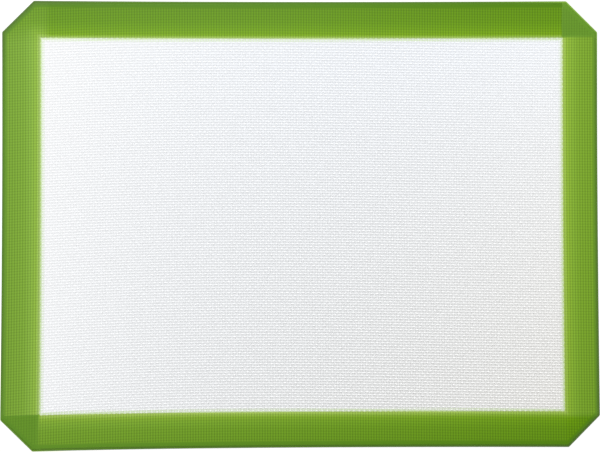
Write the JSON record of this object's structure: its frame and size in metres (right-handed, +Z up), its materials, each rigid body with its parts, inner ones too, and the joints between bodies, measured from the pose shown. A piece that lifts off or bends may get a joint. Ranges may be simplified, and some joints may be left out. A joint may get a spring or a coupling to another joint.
{
  "type": "silicone baking mat",
  "caption": "Flat rectangular baking mat with cut corners: woven glass cloth between clear silicone coats, with a lapped green silicone border and a sealed edge.",
  "frame": {"origin": "middle of the underside, on the surface that the mat lies on", "axes": "+X along the long side, +Y along the short side towards the top run of the border, +Z up out of the working face"},
  "size_m": [0.4, 0.3, 0.0008],
  "materials": {
    "green_silicone": "satin, moulded",
    "clear_silicone": "milky, satin, follows the weave",
    "woven_glass": "plain weave glass yarn"
  },
  "bodies": {
    "root": {"lower_border_second": "green_silicone", "lower_border_first": "green_silicone", "lower_coat": "clear_silicone", "glass_cloth": "woven_glass", "upper_coat": "clear_silicone", "edge_seal": "green_silicone", "upper_border_first": "green_silicone", "upper_border_second": "green_silicone"}
  },
  "joints": []
}
